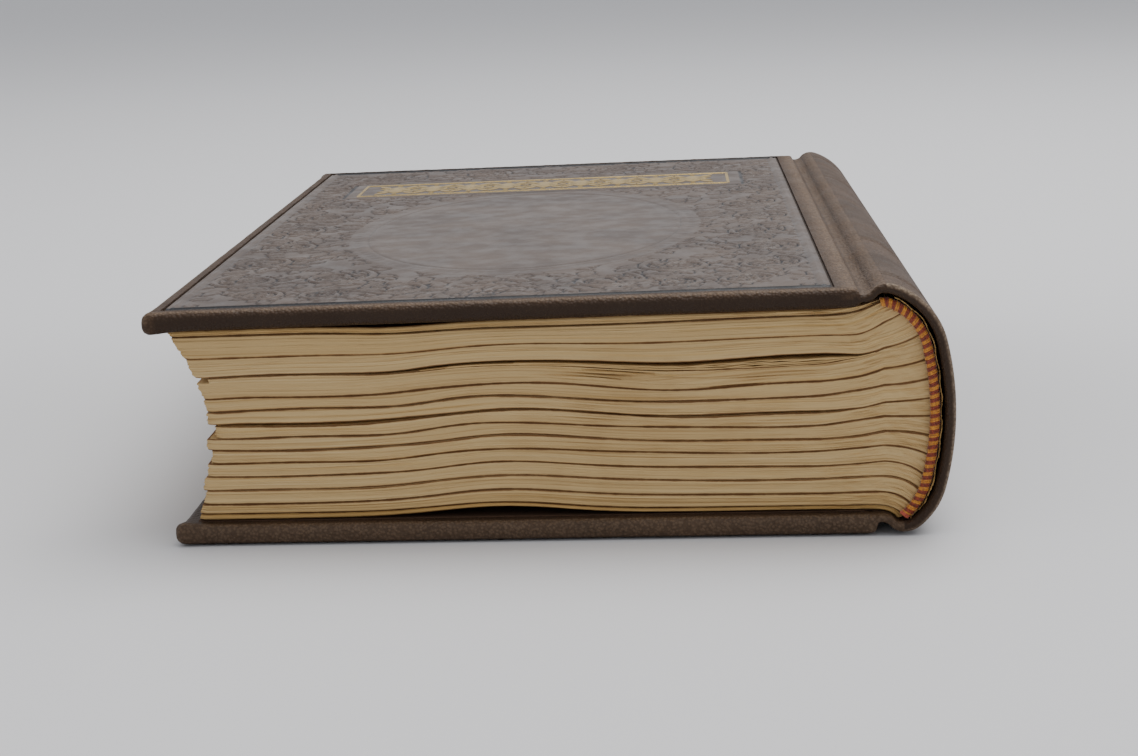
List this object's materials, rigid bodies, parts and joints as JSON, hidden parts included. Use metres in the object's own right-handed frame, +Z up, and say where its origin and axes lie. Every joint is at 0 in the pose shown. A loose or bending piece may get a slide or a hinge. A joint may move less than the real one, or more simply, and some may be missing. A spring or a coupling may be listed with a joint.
{
  "type": "leather-bound book",
  "caption": "Old hardback book in embossed leather: rounded hollow back, two boards hinged on joint grooves, sewn pages with a concave fore edge, and striped endbands.",
  "frame": {"origin": "on the surface the book lies on, under the middle of the whole book's box", "axes": "+Z up through the closed book, +Y from tail to head along the spine, +X from the fore edge to the spine"},
  "size_m": [0.1827, 0.25, 0.0581],
  "materials": {
    "cover_leather": "grained, worn satin",
    "pages": "aged matt paper edges",
    "endpaper": "aged matt paper",
    "board": "matt millboard",
    "stiffener_card": "matt card",
    "lining_paper": "matt brown paper",
    "mull_cloth": "open plain weave",
    "tape_linen": "plain weave",
    "endband_silk": "striped thread"
  },
  "bodies": {
    "block": {"text_block": "pages", "sewing_tape_1": "tape_linen", "sewing_tape_2": "tape_linen", "sewing_tape_3": "tape_linen", "sewing_tape_4": "tape_linen", "mull": "mull_cloth", "spine_lining": "lining_paper", "tail_endband": "endband_silk", "head_endband": "endband_silk", "spine_stiffener": "stiffener_card", "spine_leather": "cover_leather"},
    "upper_cover": {"upper_board": "board", "upper_cover_leather": "cover_leather", "upper_pastedown": "endpaper"},
    "lower_cover": {"lower_board": "board", "lower_cover_leather": "cover_leather", "lower_pastedown": "endpaper"}
  },
  "joints": [
    {"name": "upper_cover_hinge", "type": "hinge", "parent": "block", "child": "upper_cover", "pos_m": [0.07251, 0, 0.0579], "axis": [0, 1, 0], "range_deg": [0, 180]},
    {"name": "lower_cover_hinge", "type": "hinge", "parent": "block", "child": "lower_cover", "pos_m": [0.07676, 0, 0], "axis": [0, -1, 0], "range_deg": [0, 180]}
  ]
}
